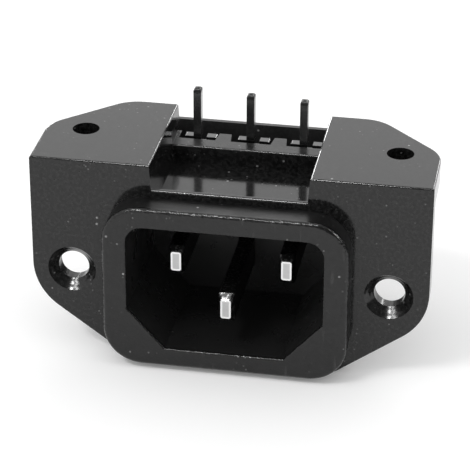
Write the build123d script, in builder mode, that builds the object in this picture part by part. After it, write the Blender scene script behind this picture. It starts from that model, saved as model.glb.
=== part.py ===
from build123d import *
import os

# Mains inlet with three male pins, for a circuit board that lies on its two wings.
# X runs along the flange, Y back from the panel, Z towards the circuit board. The origin is
# midway between the two panel screws, on the front of the flange. Millimetres throughout.

# Flange, the plate that the panel screws hold
flange_width = 50.0
flange_thickness = 2.6
flange_bottom = -11.6
shoulder_z = -3.2
foot_half = 13.4
shoulder_radius = 7.5
foot_radius = 1.5

# Panel screws
panel_pitch = 40.0
panel_hole = 3.9
panel_sink = 6.15
sink_angle = 90.0

# Wings that carry the circuit board
wing_top = 15.3
wing_thickness = 3.0
wing_depth = 18.4
wing_cut = 8.6
wing_radius = 5.0

# Board screws, in blind posts below the wings
board_pitch = 39.8
board_screw_y = 9.0
board_hole = 3.4
board_hole_depth = 8.5
post_diameter = 7.0
post_height = 6.8

# Gap between the wings, wider at its top
gap_width = 19.9
gap_draft = 0.072
lip_top = 12.0
lip_thickness = 0.8
floor_z = 9.45
ledge_front = 13.55
ledge_top = 11.8

# Shroud that passes through the panel
shroud_width = 30.7
shroud_top = 11.05
shroud_bottom = -10.9
shroud_reach = 3.5
shroud_radius = 4.8
rim_round = 0.5

# Cavity that takes the cord's connector
cavity_width = 24.6
cavity_top = 8.4
cavity_bottom = -8.35
cavity_back = 13.2
cavity_radius = 2.2
key_side_z = -3.0
key_foot_half = 7.5
mouth_round = 0.25

# Contacts: a blade into the cavity, a flat strap behind it and a solder tail
blade_width = 2.0
blade_height = 4.0
blade_tip_width = 1.3
blade_tip_height = 2.6
blade_taper = 0.7
blade_round = 0.3
pole_half_pitch = 7.0
pole_z = 1.45
pole_tip_y = 1.6
earth_z = -2.65
earth_tip_y = -2.1
strap_front = 16.6
strap_thickness = 1.1
strap_width = 4.2
strap_top = 11.75
strap_round = 0.25
tail_width = 1.0
tail_half_pitch = 6.9
side_step = 0.2
left_tail_top = 18.45
earth_tail_top = 18.1
right_tail_top = 17.8
notch_width = 0.7
notch_depth = 0.9
fit = 0.05

# Body behind the flange
body_width = 27.6
body_chamfer_z = -5.2
body_foot_half = 8.0
body_back = strap_front + strap_thickness + 0.1

# Pockets that the straps stand in, with a tapered rib between each two
pocket_front = 15.7
rib_half_pitch = tail_half_pitch / 2 + 0.15
rib_front_width = 2.05
rib_back_width = 1.55
pocket_outer = tail_half_pitch + side_step + strap_width / 2 + 0.15

# Rear cover, a cap with thin walls, open at the top and towards the housing
cover_depth = 4.15
cover_wall = 1.1
cover_back_wall = 0.65
cover_round = 0.8

# Small edge rounds
edge_round = 0.25


def at_depth(y):
    """Plane across the part at distance y behind the panel, facing the front."""
    return Plane.XZ.offset(-y)


def gap_half(z):
    """Half the gap between the wings at height z."""
    return gap_width / 2 - gap_draft * (wing_top - z)


def gap_outline(low, high):
    """Corners of the gap between two heights."""
    return [(-gap_half(low), low), (gap_half(low), low), (gap_half(high), high), (-gap_half(high), high)]


half = flange_width / 2
wing_under = wing_top - wing_thickness
above = wing_top + 1

rib_front = (rib_half_pitch - rib_front_width / 2, rib_half_pitch + rib_front_width / 2)
rib_back = (rib_half_pitch - rib_back_width / 2, rib_half_pitch + rib_back_width / 2)
side_pocket = ((rib_front[1], pocket_outer), (rib_back[1], pocket_outer))
pockets = {
    "left": ((-side_pocket[0][1], -side_pocket[0][0]), (-side_pocket[1][1], -side_pocket[1][0])),
    "earth": ((-rib_front[0], rib_front[0]), (-rib_back[0], rib_back[0])),
    "right": side_pocket,
}
contacts = {
    "left": (-pole_half_pitch, pole_z, pole_tip_y, -tail_half_pitch, left_tail_top),
    "earth": (0.0, earth_z, earth_tip_y, 0.0, earth_tail_top),
    "right": (pole_half_pitch, pole_z, pole_tip_y, tail_half_pitch, right_tail_top),
}

with BuildPart() as housing:
    with BuildSketch(at_depth(0)) as flange_face:
        with BuildLine():
            Polyline((0, wing_top), (half, wing_top), (half, shoulder_z), (foot_half, flange_bottom),
                     (0, flange_bottom))
            mirror(about=Plane.YZ)
        make_face()
        fillet(flange_face.vertices().filter_by(lambda v: abs(v.Y - shoulder_z) < 0.01), shoulder_radius)
        fillet(flange_face.vertices().filter_by(lambda v: abs(v.Y - flange_bottom) < 0.01), foot_radius)
    extrude(amount=-flange_thickness)

    with BuildSketch(Plane.XY.offset(wing_under)) as wing_plan:
        with BuildLine():
            Polyline((0, 0), (half, 0), (half, wing_depth - wing_cut), (half - wing_cut, wing_depth),
                     (0, wing_depth))
            mirror(about=Plane.YZ)
        make_face()
        fillet(wing_plan.vertices().filter_by(lambda v: v.Y > 1 and abs(v.X) > 1), wing_radius)
    extrude(amount=wing_thickness)

    with BuildSketch(at_depth(0)):
        with BuildLine():
            Polyline((0, wing_under + 1), (body_width / 2, wing_under + 1), (body_width / 2, body_chamfer_z),
                     (body_foot_half, flange_bottom), (0, flange_bottom))
            mirror(about=Plane.YZ)
        make_face()
    extrude(amount=-body_back)

    with BuildSketch(Plane.XY.offset(wing_under + 1)):
        with Locations((-board_pitch / 2, board_screw_y), (board_pitch / 2, board_screw_y)):
            Circle(post_diameter / 2)
    extrude(amount=-post_height - 1)

    with BuildSketch(at_depth(0)):
        with Locations((0, (shroud_top + shroud_bottom) / 2)):
            RectangleRounded(shroud_width, shroud_top - shroud_bottom, shroud_radius)
    extrude(amount=shroud_reach)

    # The gap is cut in three steps: over the lip, down to the floor, down to the ledge
    for start, end, low in ((0, lip_thickness, lip_top), (lip_thickness, ledge_front, floor_z),
                            (ledge_front, wing_depth, ledge_top)):
        with BuildSketch(at_depth(start)):
            Polygon(*gap_outline(low, above), align=None)
        extrude(amount=-(end - start), mode=Mode.SUBTRACT)

    with BuildSketch(at_depth(-shroud_reach)) as cavity_face:
        with BuildLine():
            Polyline((0, cavity_top), (cavity_width / 2, cavity_top), (cavity_width / 2, key_side_z),
                     (key_foot_half, cavity_bottom), (0, cavity_bottom))
            mirror(about=Plane.YZ)
        make_face()
        fillet(cavity_face.vertices().filter_by(lambda v: v.Y > 1 and abs(v.X) > 1), cavity_radius)
    extrude(amount=-(shroud_reach + cavity_back), mode=Mode.SUBTRACT)

    for side, (pin_x, pin_z, tip_y, place, tail_top) in contacts.items():
        strap_foot = pin_z - blade_height / 2
        (front_low, front_high), (back_low, back_high) = pockets[side]
        with BuildSketch(Plane.XY.offset(strap_foot - fit)):
            Polygon((front_low, pocket_front), (front_high, pocket_front), (back_high, body_back),
                    (back_low, body_back), align=None)
        extrude(amount=ledge_top - strap_foot + fit, mode=Mode.SUBTRACT)
        with BuildSketch(at_depth(cavity_back)):
            with Locations((pin_x, pin_z)):
                Rectangle(blade_width + 2 * fit, blade_height + 2 * fit)
        extrude(amount=-(pocket_front - cavity_back), mode=Mode.SUBTRACT)

    with Locations(at_depth(0)):
        with Locations((-panel_pitch / 2, 0), (panel_pitch / 2, 0)):
            CounterSinkHole(panel_hole / 2, panel_sink / 2, flange_thickness + 1, sink_angle)
    with Locations(Plane.XY.offset(wing_top)):
        with Locations((-board_pitch / 2, board_screw_y), (board_pitch / 2, board_screw_y)):
            Hole(board_hole / 2, board_hole_depth)

    # Rounds on the rim, the mouth of the cavity, the wing tops and the lip
    rim = housing.faces().filter_by(lambda f: abs(f.center().Y + shroud_reach) < 0.01)[0]
    fillet(rim.outer_wire().edges(), rim_round)
    rim = housing.faces().filter_by(lambda f: abs(f.center().Y + shroud_reach) < 0.01)[0]
    fillet(rim.inner_wires()[0].edges(), mouth_round)
    tops = housing.faces().filter_by(lambda f: abs(f.center().Z - wing_top) < 0.01)
    fillet([edge for top in tops for edge in top.outer_wire().edges()], edge_round)
    lip = housing.faces().filter_by(lambda f: abs(f.center().Z - lip_top) < 0.01 and f.center().Y < 1)[0]
    fillet(lip.edges().filter_by(Axis.X), edge_round)
    ledge = housing.edges().filter_by(Axis.X).filter_by(
        lambda e: abs(e.center().Y - ledge_front) < 0.01 and abs(e.center().Z - ledge_top) < 0.01)
    fillet(ledge, edge_round)
housing.part.label = "housing"

with BuildPart() as rear_cover:
    with BuildSketch(at_depth(body_back)) as cover_face:
        with BuildLine():
            Polyline((0, ledge_top), (body_width / 2, ledge_top), (body_width / 2, body_chamfer_z),
                     (body_foot_half, flange_bottom), (0, flange_bottom))
            mirror(about=Plane.YZ)
        make_face()
    extrude(amount=-cover_depth)
    back_rim = rear_cover.faces().sort_by(Axis.Y)[-1].edges()
    fillet(back_rim.filter_by(lambda e: e.center().Z < ledge_top - 0.01), cover_round)
    with BuildSketch(at_depth(body_back)):
        offset(cover_face.sketch, amount=-cover_wall, kind=Kind.INTERSECTION)
        with Locations((0, ledge_top)):
            Rectangle(body_width - 2 * cover_wall, 4 * cover_wall)
    extrude(amount=-(cover_depth - cover_back_wall), mode=Mode.SUBTRACT)
rear_cover.part.label = "rear_cover"

os.makedirs("parts", exist_ok=True)
export_step(housing.part, "parts/housing.step")
export_step(rear_cover.part, "parts/rear_cover.step")

for side, (pin_x, pin_z, tip_y, place, tail_top) in contacts.items():
    strap_foot = pin_z - blade_height / 2
    blade_start = tip_y + blade_taper
    tail_x = place - side_step
    with BuildPart() as contact:
        with BuildSketch(at_depth(tip_y)):
            with Locations((pin_x, pin_z)):
                RectangleRounded(blade_tip_width, blade_tip_height, blade_round)
        with BuildSketch(at_depth(blade_start)):
            with Locations((pin_x, pin_z)):
                RectangleRounded(blade_width, blade_height, blade_round)
        loft()
        with BuildSketch(at_depth(blade_start)):
            with Locations((pin_x, pin_z)):
                RectangleRounded(blade_width, blade_height, blade_round)
        extrude(amount=-(strap_front - blade_start))
        with BuildSketch(at_depth(strap_front)) as strap_face:
            with Locations((place + side_step, (strap_foot + strap_top) / 2)):
                Rectangle(strap_width, strap_top - strap_foot)
            fillet(strap_face.vertices().group_by(Axis.Y)[-1], strap_round)
            with Locations((tail_x + (tail_width + notch_width) / 2, strap_top - notch_depth / 2)):
                Rectangle(notch_width, notch_depth, mode=Mode.SUBTRACT)
            with Locations((tail_x, (strap_top + tail_top - notch_depth) / 2)):
                Rectangle(tail_width, tail_top - strap_top + notch_depth)
        extrude(amount=-strap_thickness)
        tail_end = contact.faces().sort_by(Axis.Z)[-1]
        fillet(tail_end.edges(), tail_width * 0.42)
    contact.part.label = f"{side}_contact"
    export_step(contact.part, f"parts/{side}_contact.step")
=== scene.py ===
"""Studio scene of a board-mount mains inlet: finishes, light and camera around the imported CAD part."""

import logging
import math
from dataclasses import dataclass, field
from enum import Enum

import bpy
from mathutils import Matrix, Vector


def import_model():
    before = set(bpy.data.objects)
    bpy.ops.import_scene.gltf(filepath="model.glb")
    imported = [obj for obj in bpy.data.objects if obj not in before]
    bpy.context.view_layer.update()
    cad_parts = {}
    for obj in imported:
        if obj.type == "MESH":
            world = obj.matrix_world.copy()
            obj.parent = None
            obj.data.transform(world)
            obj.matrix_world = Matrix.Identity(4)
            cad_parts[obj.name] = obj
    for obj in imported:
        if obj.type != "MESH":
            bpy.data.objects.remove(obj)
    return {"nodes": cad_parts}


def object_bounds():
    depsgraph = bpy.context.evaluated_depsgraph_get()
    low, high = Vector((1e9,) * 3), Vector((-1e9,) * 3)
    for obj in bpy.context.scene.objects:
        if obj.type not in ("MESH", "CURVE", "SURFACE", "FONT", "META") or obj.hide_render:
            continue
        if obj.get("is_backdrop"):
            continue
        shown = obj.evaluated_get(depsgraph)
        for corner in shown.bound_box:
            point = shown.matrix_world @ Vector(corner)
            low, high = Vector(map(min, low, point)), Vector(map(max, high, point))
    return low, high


log = logging.getLogger("inlet")

Colour = tuple[float, float, float, float]
Point = tuple[float, float, float]
Span = tuple[float, float]


class Grain(Enum):
    """The noise textures: waves per metre and octaves."""

    CLOUD = (2400.0, 4.0)
    SMEAR = (1300.0, 1.0)
    WEAR = (260.0, 3.0)
    WAVES = (1800.0, 3.0)
    RIM = (3600.0, 1.0)
    STAIN = (3000.0, 2.0)
    TARNISH = (900.0, 3.0)
    RIPPLES = (1400.0, 2.0)


@dataclass(frozen=True)
class Traits:
    """What differs between contacts: the blade tip's middle, the tail's top and the tarnish, whose
    darker greys on the earth contact are painted shade.
    """

    tip: Point
    tail_top: float
    tail_tarnish_and_shade: Span = (0.14, 0.38)


class Pole(Enum):
    """The three contacts, from left to right."""

    LEFT = Traits((-0.0070, 0.0016, 0.00145), 0.01845)
    # The earth contact's darker tail greys are painted shade.
    EARTH = Traits((0.0, -0.0021, -0.00265), 0.0181, (0.07, 0.24))
    RIGHT = Traits((0.0070, 0.0016, 0.00145), 0.0178)


@dataclass(frozen=True)
class Dots:
    """Specks of dust.

    There are count dots and patches gatherings of them per metre. A dot fades out between core
    times its width and its width, as shares of the dots' spacing, and has share of the dust.
    """

    count: float
    patches: float
    width: float
    share: float
    core: float = 0.4
    fade: Span = (0.52, 0.66)


@dataclass(frozen=True)
class Places:
    """Where the moulding's zones lie, in metres: the two ends of each fade.

    cavity_half holds the cavity's half width and half height instead, and edge how far a sharp
    border fades.
    """

    shroud: Span = (-0.0001, -0.0003)
    rim: Span = (-0.0027, -0.0031)
    ledge_front: Span = (0.0130, 0.0133)
    ledge_foot: Span = (0.0108, 0.0112)
    ledge_side: Span = (0.0099, 0.0098)
    cavity_mouth: Span = (-0.0033, -0.0031)
    cavity_back: Span = (0.0134, 0.0133)
    cavity_half: Span = (0.0124, 0.0085)
    edge: float = 0.00005


@dataclass
class Graph:
    """A material's or world's node tree, with short calls to add and join nodes."""

    tree: bpy.types.NodeTree

    def add(self, kind: str, **values: object) -> bpy.types.Node:
        """Adds a node.

        Args:
            kind: The node's Blender type name.
            values: Attributes to set on it.

        Returns:
            The new node.
        """
        node = self.tree.nodes.new(kind)
        for name, value in values.items():
            setattr(node, name, value)
        return node

    def join(self, out: bpy.types.NodeSocket, into: bpy.types.NodeSocket) -> None:
        """Links an output socket to an input socket.

        Args:
            out: The output.
            into: The input it feeds.
        """
        self.tree.links.new(out, into)

    def maths(self, how: str, a: object, b: object = None) -> bpy.types.NodeSocket:
        """Adds a Math node.

        Args:
            how: The operation, such as "MULTIPLY".
            a: First socket or number.
            b: Second socket or number.

        Returns:
            The result's socket.
        """
        node = self.add("ShaderNodeMath", operation=how)
        for index, value in enumerate((a, b)):
            if value is None:
                continue
            if isinstance(value, (int, float)):
                node.inputs[index].default_value = value
            else:
                self.join(value, node.inputs[index])
        return node.outputs[0]

    def ramp(self, value: bpy.types.NodeSocket, low: float, high: float,
             start: float = 0.0, end: float = 1.0) -> bpy.types.NodeSocket:
        """Maps a value smoothly from one range to another.

        Args:
            value: The socket to map.
            low: The value that gives start.
            high: The value that gives end.
            start: Result at low.
            end: Result at high.

        Returns:
            The mapped value's socket.
        """
        node = self.add("ShaderNodeMapRange", interpolation_type="SMOOTHSTEP")
        self.join(value, node.inputs["Value"])
        borders = (("From Min", low), ("From Max", high), ("To Min", start), ("To Max", end))
        for name, number in borders:
            node.inputs[name].default_value = number
        return node.outputs["Result"]

    def noise(self, where: bpy.types.NodeSocket, scale: float,
              detail: float) -> bpy.types.NodeSocket:
        """Adds a noise texture in object coordinates.

        Args:
            where: The coordinates' socket.
            scale: Waves per metre.
            detail: Octaves.

        Returns:
            The noise factor's socket.
        """
        node = self.add("ShaderNodeTexNoise")
        self.join(where, node.inputs["Vector"])
        node.inputs["Scale"].default_value = scale
        node.inputs["Detail"].default_value = detail
        return node.outputs["Fac"]

    def blend(self, share: bpy.types.NodeSocket, first: object,
              second: object) -> bpy.types.NodeSocket:
        """Mixes two colours.

        Args:
            share: How much of the second there is.
            first: A colour or its socket.
            second: A colour or its socket.

        Returns:
            The colour's socket.
        """
        mix = self.add("ShaderNodeMix", data_type="RGBA")
        self.join(share, mix.inputs["Factor"])
        for name, colour in (("A", first), ("B", second)):
            if isinstance(colour, tuple):
                mix.inputs[name].default_value = colour
            else:
                self.join(colour, mix.inputs[name])
        return mix.outputs["Result"]

    def bump(self, height: bpy.types.NodeSocket, deep: float, strength: object,
             below: bpy.types.NodeSocket | None = None) -> bpy.types.NodeSocket:
        """Adds a Bump node.

        Args:
            height: The height's socket.
            deep: Metres at height 1.
            strength: A number or its socket.
            below: The normal to add to.

        Returns:
            The normal's socket.
        """
        node = self.add("ShaderNodeBump")
        node.inputs["Distance"].default_value = deep
        self.join(height, node.inputs["Height"])
        if isinstance(strength, float):
            node.inputs["Strength"].default_value = strength
        else:
            self.join(strength, node.inputs["Strength"])
        if below is not None:
            self.join(below, node.inputs["Normal"])
        return node.outputs["Normal"]


def grey(level: float) -> Colour:
    """Makes a grey.

    Args:
        level: Its linear level.

    Returns:
        The colour.
    """
    return (level, level, level, 1.0)


def fresh(name: str) -> tuple[bpy.types.Material, Graph]:
    """Makes an empty node material.

    Args:
        name: The material's name.

    Returns:
        The material and its graph.
    """
    material = bpy.data.materials.new(name)
    material.use_nodes = True
    material.node_tree.nodes.clear()
    return material, Graph(material.node_tree)


def seen_directly(graph: Graph) -> bpy.types.NodeSocket:
    """Tells camera, mirrored and refracted rays from the rays that light the scene.

    Args:
        graph: The graph to add the nodes to.

    Returns:
        A socket with 1 for a ray of those kinds and 0 for any other.
    """
    path = graph.add("ShaderNodeLightPath")
    seen = graph.maths("MAXIMUM", path.outputs["Is Camera Ray"], path.outputs["Is Glossy Ray"])
    return graph.maths("MAXIMUM", seen, path.outputs["Is Transmission Ray"])


@dataclass(frozen=True)
class MouldedPlastic:
    """Black moulded plastic, a little dusty.

    The flange and wings are polished, the shroud's walls, cavity and ledge satin and its rim
    grained. The countersinks show turning marks. Waves and rings hold a depth and a strength. The
    base is lighter in the cavity, painted light, and darker on the shroud, painted shade.
    """

    name: str
    base: float = 0.0085
    mottle: float = 0.0055
    polished: float = 0.11
    grained: float = 0.17
    walls: float = 0.36
    ior: float = 1.45
    dust: float = 0.22
    satin: float = 0.30
    worn: float = 0.30
    # Lighter base for the cavity's walls: painted light.
    cavity_painted_light: float = 0.012
    places: Places = Places()
    cloud_fade: Span = (0.32, 0.68)
    shroud_painted_shade: float = 0.45
    wear_fade: Span = (0.3, 0.7)
    wear_range: Span = (0.8, 1.2)
    dots: tuple[Dots, ...] = (Dots(1300.0, 420.0, 0.20, 1.0), Dots(640.0, 160.0, 0.13, 2.8))
    dust_level: float = 0.45
    smear: float = 0.03
    smear_fade: Span = (0.68, 0.80)
    smear_stretch: Point = (1.0, 1.0, 0.16)
    waves: Span = (0.00004, 0.08)
    grain_depth: float = 0.00008
    sinks: tuple[Span, ...] = ()
    sink_radius: float = 0.0031
    sink_finish: float = 0.17
    rings: Span = (0.00002, 0.22)
    ring_pitch: float = 0.00054

    def build(self) -> bpy.types.Material:
        """Makes the material.

        Returns:
            The node material.
        """
        material, graph = fresh(self.name)
        where = graph.add("ShaderNodeTexCoord").outputs["Object"]
        shader = graph.add("ShaderNodeBsdfPrincipled")
        shader.inputs["IOR"].default_value = self.ior
        split = graph.add("ShaderNodeSeparateXYZ")
        graph.join(where, split.inputs["Vector"])
        shroud = graph.ramp(split.outputs["Y"], *self.places.shroud)
        rim = graph.ramp(split.outputs["Y"], *self.places.rim)
        hollow = self.inside(graph, split)
        ledge = graph.maths("MULTIPLY",
                            graph.ramp(split.outputs["Y"], *self.places.ledge_front),
                            graph.ramp(split.outputs["Z"], *self.places.ledge_foot))
        aside = graph.maths("ABSOLUTE", split.outputs["X"])
        between = graph.ramp(aside, *self.places.ledge_side)
        ledge = graph.maths("MULTIPLY", ledge, between)
        rough = self.roughness(graph, where, (shroud, rim, hollow, ledge))
        graph.join(rough, shader.inputs["Roughness"])
        # The cavity's walls get a lighter base than the rest: painted light that lifts the shade inside.
        graph.join(graph.blend(hollow, self.colour(graph, where, shroud), grey(self.cavity_painted_light)),
                   shader.inputs["Base Color"])
        graph.join(self.relief(graph, where, rim), shader.inputs["Normal"])
        out = graph.add("ShaderNodeOutputMaterial")
        graph.join(shader.outputs["BSDF"], out.inputs["Surface"])
        return material

    def inside(self, graph: Graph, place: bpy.types.Node) -> bpy.types.NodeSocket:
        """Picks out the walls of the cavity.

        Args:
            graph: The material's graph.
            place: The node that splits the object coordinates.

        Returns:
            1 in the cavity and 0 elsewhere.
        """
        across = graph.maths("ABSOLUTE", place.outputs["X"])
        upward = graph.maths("ABSOLUTE", place.outputs["Z"])
        half_x, half_z = self.places.cavity_half
        edge = self.places.edge
        within = graph.maths("MULTIPLY", graph.ramp(across, half_x, half_x - edge),
                             graph.ramp(upward, half_z, half_z - edge))
        depth = graph.maths("MULTIPLY",
                            graph.ramp(place.outputs["Y"], *self.places.cavity_mouth),
                            graph.ramp(place.outputs["Y"], *self.places.cavity_back))
        return graph.maths("MULTIPLY", within, depth)

    def roughness(self, graph: Graph, where: bpy.types.NodeSocket,
                  zones: tuple[bpy.types.NodeSocket, ...]) -> bpy.types.NodeSocket:
        """Makes the roughness, uneven by a fifth.

        Args:
            graph: The material's graph.
            where: Object coordinates.
            zones: Sockets with 1 on the shroud, on its rim, in the cavity and on the ledge.

        Returns:
            The roughness socket.
        """
        shroud, rim, hollow, ledge = zones
        outside = graph.ramp(shroud, 0.0, 1.0, self.polished, self.walls)
        smoother = graph.maths("MULTIPLY", rim, self.walls - self.grained)
        front = graph.maths("SUBTRACT", outside, smoother)
        deep = graph.maths("MAXIMUM", graph.maths("MULTIPLY", hollow, self.satin),
                           graph.maths("MULTIPLY", ledge, self.worn))
        zone = graph.maths("MAXIMUM", front, deep)
        for x, z in self.sinks:
            away = self.off_axis(graph, where, x, z)
            sink = graph.ramp(away, self.sink_radius, self.sink_radius - self.places.edge,
                              0.0, self.sink_finish)
            zone = graph.maths("MAXIMUM", zone, sink)
        worn = graph.noise(where, *Grain.WEAR.value)
        wear = graph.ramp(worn, *self.wear_fade, *self.wear_range)
        return graph.maths("MULTIPLY", zone, wear)

    def colour(self, graph: Graph, where: bpy.types.NodeSocket,
               shroud: bpy.types.NodeSocket) -> bpy.types.NodeSocket:
        """Makes the slightly cloudy black with its specks of dust and faint wiped marks.

        Args:
            graph: The material's graph.
            where: Object coordinates.
            shroud: 1 on the shroud, where the darker black is painted shade.

        Returns:
            The colour socket.
        """
        share = graph.ramp(graph.noise(where, *Grain.CLOUD.value), *self.cloud_fade)
        # On the shroud the lighter cloud is cut back: painted shade.
        share = graph.maths("MULTIPLY", share, graph.ramp(shroud, 0.0, 1.0, 1.0, self.shroud_painted_shade))
        cloud = graph.blend(share, grey(self.base - self.mottle), grey(self.base + self.mottle))
        specks, motes = [self.specks(graph, where, dots) for dots in self.dots]
        wiped = graph.add("ShaderNodeMapping")
        wiped.inputs["Scale"].default_value = self.smear_stretch
        graph.join(where, wiped.inputs["Vector"])
        marks = graph.noise(wiped.outputs["Vector"], *Grain.SMEAR.value)
        smear = graph.ramp(marks, *self.smear_fade, 0.0, self.smear)
        dirt = graph.maths("MAXIMUM", graph.maths("MAXIMUM", specks, motes), smear)
        return graph.blend(dirt, cloud, grey(self.dust_level))

    def specks(self, graph: Graph, where: bpy.types.NodeSocket,
               dots: Dots) -> bpy.types.NodeSocket:
        """Makes small dots that gather in patches.

        Args:
            graph: The material's graph.
            where: Object coordinates.
            dots: The dots' spacing, size and strength.

        Returns:
            A socket with the dots' strength in a dot and 0 outside.
        """
        cells = graph.add("ShaderNodeTexVoronoi", feature="F1")
        graph.join(where, cells.inputs["Vector"])
        cells.inputs["Scale"].default_value = dots.count
        dot = graph.ramp(cells.outputs["Distance"], dots.core * dots.width, dots.width, 1.0, 0.0)
        patch = graph.ramp(graph.noise(where, dots.patches, 1.0), *dots.fade)
        strength = dots.share * self.dust
        return graph.maths("MULTIPLY", graph.maths("MULTIPLY", dot, patch), strength)

    def relief(self, graph: Graph, where: bpy.types.NodeSocket,
               rim: bpy.types.NodeSocket) -> bpy.types.NodeSocket:
        """Makes the rim's grain, the turning marks of the countersinks and a slight waviness.

        Args:
            graph: The material's graph.
            where: Object coordinates.
            rim: 1 on the shroud's rim.

        Returns:
            The normal socket.
        """
        wavy = graph.bump(graph.noise(where, *Grain.WAVES.value), *self.waves)
        fine = graph.bump(graph.noise(where, *Grain.RIM.value), self.grain_depth, rim, wavy)
        for x, z in self.sinks:
            fine = self.turned(graph, where, x, z, fine)
        return fine

    def turned(self, graph: Graph, where: bpy.types.NodeSocket, x: float, z: float,
               below: bpy.types.NodeSocket) -> bpy.types.NodeSocket:
        """Adds the rings of one countersink.

        Args:
            graph: The material's graph.
            where: Object coordinates.
            x: The hole's axis in x.
            z: The hole's axis in z.
            below: The normal socket to add to.

        Returns:
            The normal socket.
        """
        away = self.off_axis(graph, where, x, z)
        inside = graph.ramp(away, self.sink_radius, self.sink_radius - self.places.edge)
        depth, strength = self.rings
        turns = 2.0 * math.pi / self.ring_pitch
        shifted = graph.maths("ADD", away, 0.5 * self.ring_pitch)
        wave = graph.maths("SINE", graph.maths("MULTIPLY", shifted, turns))
        return graph.bump(wave, depth, graph.maths("MULTIPLY", inside, strength), below)

    def off_axis(self, graph: Graph, where: bpy.types.NodeSocket, x: float,
                 z: float) -> bpy.types.NodeSocket:
        """Measures the distance from a panel hole's axis.

        Args:
            graph: The material's graph.
            where: Object coordinates.
            x: The hole's axis in x.
            z: The hole's axis in z.

        Returns:
            The distance's socket.
        """
        centred = graph.add("ShaderNodeMapping")
        centred.inputs["Location"].default_value = (-x, 0.0, -z)
        centred.inputs["Scale"].default_value = (1.0, 0.0, 1.0)
        graph.join(where, centred.inputs["Vector"])
        length = graph.add("ShaderNodeVectorMath", operation="LENGTH")
        graph.join(centred.outputs["Vector"], length.inputs[0])
        return length.outputs["Value"]


@dataclass(frozen=True)
class PlatedMetal:
    """Nickel-plated brass: bright blade tips with a painted highlight round their border, flanks
    painted dark as shade with mottled stains, and dull sheared edges.

    Border, flank_edge, strap_edge and tail_end hold the two ends of a fade, in metres from the
    edge that they are named for. Ripples holds a depth and a strength.
    """

    name: str
    traits: Traits
    tip_half: Span = (0.00065, 0.0013)
    border: Span = (0.00032, 0.00012)
    flank_edge: Span = (0.00004, 0.00012)
    back_start: Span = (0.0130, 0.0135)
    strap_top: float = 0.01175
    strap_edge: Span = (0.0001, 0.00002)
    tail_end: Span = (0.0008, 0.0004)
    bright: float = 0.56
    cloudy: float = 0.74
    tip_painted_highlight: float = 0.86
    flank_shade_and_stain: Span = (0.028, 0.15)
    stain_fade: Span = (0.54, 0.62)
    aged_finish: float = 0.55
    dull: float = 0.13
    dark: float = 0.035
    polished: float = 0.11
    sheared: float = 0.38
    ripples: Span = (0.00003, 0.12)

    def build(self) -> bpy.types.Material:
        """Makes the material.

        Returns:
            The node material.
        """
        material, graph = fresh(self.name)
        where = graph.add("ShaderNodeTexCoord").outputs["Object"]
        split = graph.add("ShaderNodeSeparateXYZ")
        graph.join(where, split.inputs["Vector"])
        shader = graph.add("ShaderNodeBsdfPrincipled")
        shader.inputs["Metallic"].default_value = 1.0
        height = split.outputs["Z"]
        far, near = self.strap_edge
        strap = graph.maths("MULTIPLY",
                            graph.ramp(height, self.strap_top - far, self.strap_top - near),
                            graph.ramp(height, self.strap_top + far, self.strap_top + near))
        end = graph.ramp(height, *(self.traits.tail_top - down for down in self.tail_end))
        back = graph.ramp(split.outputs["Y"], *self.back_start)
        tip_y = self.traits.tip[1]
        flank = graph.ramp(split.outputs["Y"], *(tip_y + behind for behind in self.flank_edge))
        stain = graph.ramp(graph.noise(where, *Grain.STAIN.value), *self.stain_fade)
        cloud = graph.noise(where, *Grain.TARNISH.value)
        colour = graph.blend(cloud, grey(self.cloudy * self.bright), grey(self.bright))
        # The tip's border is lighter: a painted highlight.
        colour = graph.blend(self.tip_border(graph, split), colour, grey(self.tip_painted_highlight))
        # Behind the tip the flanks turn dark, painted shade, mottled with stains.
        colour = graph.blend(flank, colour, graph.blend(stain, *map(grey, self.flank_shade_and_stain)))
        # Behind the strap the tail gets tarnish greys; the earth contact's darker pair is painted shade.
        colour = graph.blend(back, colour, graph.blend(cloud, *map(grey, self.traits.tail_tarnish_and_shade)))
        colour = graph.blend(strap, colour, grey(self.dull))
        colour = graph.blend(end, colour, grey(self.dark))
        graph.join(colour, shader.inputs["Base Color"])
        rough = graph.maths("MAXIMUM", graph.maths("MAXIMUM", strap, end),
                            graph.maths("MULTIPLY", back, self.aged_finish))
        rough = graph.maths("MAXIMUM", rough, graph.maths("SUBTRACT", flank, back))
        rough = graph.ramp(rough, 0.0, 1.0, self.polished, self.sheared)
        graph.join(rough, shader.inputs["Roughness"])
        rippled = graph.bump(graph.noise(where, *Grain.RIPPLES.value), *self.ripples)
        graph.join(rippled, shader.inputs["Normal"])
        out = graph.add("ShaderNodeOutputMaterial")
        graph.join(shader.outputs["BSDF"], out.inputs["Surface"])
        return material

    def tip_border(self, graph: Graph, place: bpy.types.Node) -> bpy.types.NodeSocket:
        """Picks out the border of the blade's tip, which is lighter as a painted highlight.

        Args:
            graph: The material's graph.
            place: The node that splits the object coordinates.

        Returns:
            1 at the tip's border and 0 in its middle.
        """
        shares = []
        x, _, z = self.traits.tip
        for axis, middle, half in zip("XZ", (x, z), self.tip_half):
            away = graph.maths("ABSOLUTE", graph.maths("SUBTRACT", place.outputs[axis], middle))
            shares.append(graph.ramp(away, *(half - inset for inset in self.border)))
        return graph.maths("MAXIMUM", *shares)


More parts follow.
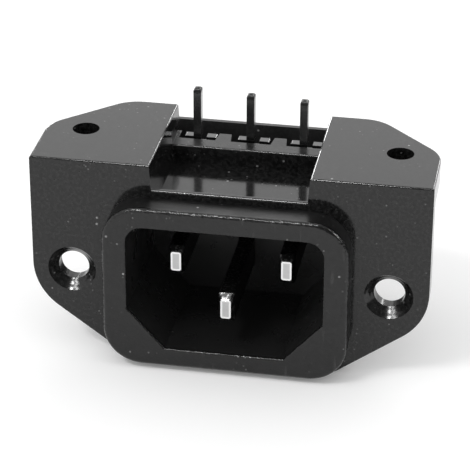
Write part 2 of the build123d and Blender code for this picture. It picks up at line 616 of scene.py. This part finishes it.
@dataclass(frozen=True)
class PaleFloor:
    """Matt white table that keeps the part's soft shadow."""

    name: str
    base: float = 0.93
    glow: float = 0.09

    def build(self) -> bpy.types.Material:
        """Makes the material, a little brighter where it is seen or mirrored.

        Returns:
            The node material.
        """
        material, graph = fresh(self.name)
        matt = graph.add("ShaderNodeBsdfDiffuse")
        matt.inputs["Color"].default_value = grey(self.base)
        glow = graph.add("ShaderNodeEmission")
        glow.inputs["Color"].default_value = grey(1.0)
        strength = graph.maths("MULTIPLY", seen_directly(graph), self.glow)
        graph.join(strength, glow.inputs["Strength"])
        both = graph.add("ShaderNodeAddShader")
        graph.join(matt.outputs["BSDF"], both.inputs[0])
        graph.join(glow.outputs["Emission"], both.inputs[1])
        out = graph.add("ShaderNodeOutputMaterial")
        graph.join(both.outputs["Shader"], out.inputs["Surface"])
        return material


@dataclass
class Moulding:
    """The housing with its two countersunk panel holes."""

    node: bpy.types.Object
    panel_pitch: float = 0.040
    panel_z: float = 0.0

    def dress(self) -> None:
        """Gives the housing its black finish."""
        half = self.panel_pitch / 2.0
        sinks = ((-half, self.panel_z), (half, self.panel_z))
        put_on(self.node, MouldedPlastic("moulded_black", sinks=sinks).build())


@dataclass
class Cover:
    """The cap behind the contacts."""

    node: bpy.types.Object

    def dress(self) -> None:
        """Gives the cap the same plastic, duller, with a lighter base that is painted light on its
        shaded face.
        """
        put_on(self.node, MouldedPlastic("cover_black", base=0.022, polished=0.34).build())


@dataclass
class Contact:
    """A contact: blade, strap and solder tail."""

    node: bpy.types.Object
    pole: Pole

    def dress(self) -> None:
        """Gives the contact its plating."""
        put_on(self.node, PlatedMetal(f"plated_{self.node.name}", self.pole.value).build())


@dataclass
class Inlet:
    """The whole part."""

    nodes: dict[str, bpy.types.Object]

    def dress(self) -> None:
        """Gives every node its procedural finish."""
        Moulding(self.nodes["housing"]).dress()
        Cover(self.nodes["rear_cover"]).dress()
        Contact(self.nodes["left_contact"], Pole.LEFT).dress()
        Contact(self.nodes["earth_contact"], Pole.EARTH).dress()
        Contact(self.nodes["right_contact"], Pole.RIGHT).dress()


def put_on(node: bpy.types.Object, finish: bpy.types.Material) -> None:
    """Replaces a node's finish.

    Args:
        node: The node.
        finish: Its new material.
    """
    node.data.materials.clear()
    node.data.materials.append(finish)
    log.info("dressed %s", node.name)


@dataclass(frozen=True)
class Lamp:
    """A rectangular lamp that faces the part."""

    name: str
    toward: Point
    wide: float
    tall: float
    glare: float
    far: float = 1.2
    accent: bool = True

    def hang(self) -> None:
        """Adds the lamp, its power worked out from its face. An accent shows in gloss only."""
        place = self.far * Vector(self.toward).normalized()
        bpy.ops.object.light_add(type="AREA", location=place)
        lamp = bpy.context.object
        lamp.name = self.name
        lamp.data.shape = "RECTANGLE"
        lamp.data.size, lamp.data.size_y = self.wide, self.tall
        lamp.data.energy = self.glare * math.pi * self.wide * self.tall
        lamp.rotation_euler = (-place).to_track_quat("-Z", "Y").to_euler()
        lamp.visible_diffuse = not self.accent
        log.info("lit %s", self.name)


LAMPS = (
    Lamp("back_panel", (0.25, 1.5, 0.85), 1.6, 1.6, 0.5, 1.74, accent=False),
    Lamp("key_lamp", (-0.41, -0.45, 0.79), 0.34, 0.12, 26.0, accent=False),
    Lamp("front_lamp", (-0.15, -0.44, 0.88), 0.18, 0.18, 60.0),
    Lamp("side_lamp", (0.79, 0.03, 0.58), 0.12, 0.42, 70.0),
    Lamp("rear_right_lamp", (0.33, 0.89, 0.27), 0.10, 0.16, 24.0),
    Lamp("rear_left_lamp", (-0.38, 0.89, 0.22), 0.10, 0.16, 24.0),
)


@dataclass
class Studio:
    """Floor, light and camera.

    Evenly is the surround's strength as light. In gloss it falls from the first room_strength
    to the second, where a ray's facing of room_toward is between the two of room_facing.
    """

    floor_z: float
    eye: Vector = field(default_factory=lambda: Vector((0.043033, -0.240345, 0.137280)))
    yaw: float = -0.174
    pitch: float = 0.491
    roll: float = 0.004
    lens: float = 172.4
    sensor: float = 36.0
    near: float = 0.01
    floor_size: float = 6.0
    evenly: float = 0.95
    room_toward: Point = (0.62, -0.60, 0.50)
    room_facing: Span = (0.35, 0.80)
    room_strength: Span = (1.0, 0.15)

    def lay_floor(self) -> None:
        """Makes the table."""
        bpy.ops.mesh.primitive_plane_add(size=self.floor_size, location=(0, 0, self.floor_z))
        floor = bpy.context.object
        floor.name = "floor"
        floor.data.materials.append(PaleFloor("pale_floor").build())
        floor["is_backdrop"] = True
        log.info("floor at %.4f", self.floor_z)

    def light(self) -> None:
        """Sets the white surround and hangs the lamps."""
        world = bpy.data.worlds.new("surround")
        bpy.context.scene.world = world
        world.use_nodes = True
        world.node_tree.nodes.clear()
        graph = Graph(world.node_tree)
        back = graph.add("ShaderNodeBackground")
        back.inputs["Color"].default_value = grey(1.0)
        graph.join(self.surround(graph), back.inputs["Strength"])
        out = graph.add("ShaderNodeOutputWorld")
        graph.join(back.outputs["Background"], out.inputs["Surface"])
        for lamp in LAMPS:
            lamp.hang()

    def surround(self, graph: Graph) -> bpy.types.NodeSocket:
        """Makes the surround: white to the camera, even for light, darker on one side in gloss.

        Args:
            graph: The world's graph.

        Returns:
            The strength's socket.
        """
        path = graph.add("ShaderNodeLightPath")
        direct = seen_directly(graph)
        toward = graph.add("ShaderNodeTexCoord").outputs["Generated"]
        facing = graph.add("ShaderNodeVectorMath", operation="DOT_PRODUCT")
        graph.join(toward, facing.inputs[0])
        facing.inputs[1].default_value = Vector(self.room_toward).normalized()
        room = graph.ramp(facing.outputs["Value"], *self.room_facing, *self.room_strength)
        mirrored = graph.maths("MAXIMUM", path.outputs["Is Camera Ray"], room)
        lighting = graph.maths("MULTIPLY", graph.maths("SUBTRACT", 1.0, direct), self.evenly)
        return graph.maths("MAXIMUM", graph.maths("MULTIPLY", direct, mirrored), lighting)

    def aim(self) -> None:
        """Places the camera as the photo was taken."""
        cy, sy = math.cos(self.yaw), math.sin(self.yaw)
        cp, sp = math.cos(self.pitch), math.sin(self.pitch)
        cr, sr = math.cos(self.roll), math.sin(self.roll)
        ahead = Vector((sy * cp, cy * cp, -sp))
        right = Vector((cy, -sy, 0.0))
        up = right.cross(ahead)
        right, up = cr * right + sr * up, -sr * right + cr * up
        bpy.ops.object.camera_add()
        camera = bpy.context.object
        camera.data.lens = self.lens
        camera.data.sensor_width = self.sensor
        turn = Matrix((right, up, -ahead)).transposed()
        camera.matrix_world = Matrix.Translation(self.eye) @ turn.to_4x4()
        camera.data.clip_start = self.near
        bpy.context.scene.camera = camera


def measure(size: dict[str, list[list[float]]], when: str) -> None:
    """Notes the shown object's bounds.

    Args:
        size: Where to keep them.
        when: The name to keep them under.
    """
    low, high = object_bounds()
    size[when] = [list(map(float, low)), list(map(float, high))]
    log.info("bounds %s: %s", when, size[when])


def main() -> None:
    """Builds the whole scene."""
    logging.basicConfig(level=logging.INFO, format="%(name)s: %(message)s")
    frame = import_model()
    size: dict[str, list[list[float]]] = {}
    measure(size, "cad")
    Inlet(frame["nodes"]).dress()
    studio = Studio(floor_z=size["cad"][0][2])
    studio.lay_floor()
    studio.light()
    studio.aim()
    scene = bpy.context.scene
    scene.view_settings.view_transform = "Standard"
    measure(size, "visual")


if __name__ == "__main__":
    main()
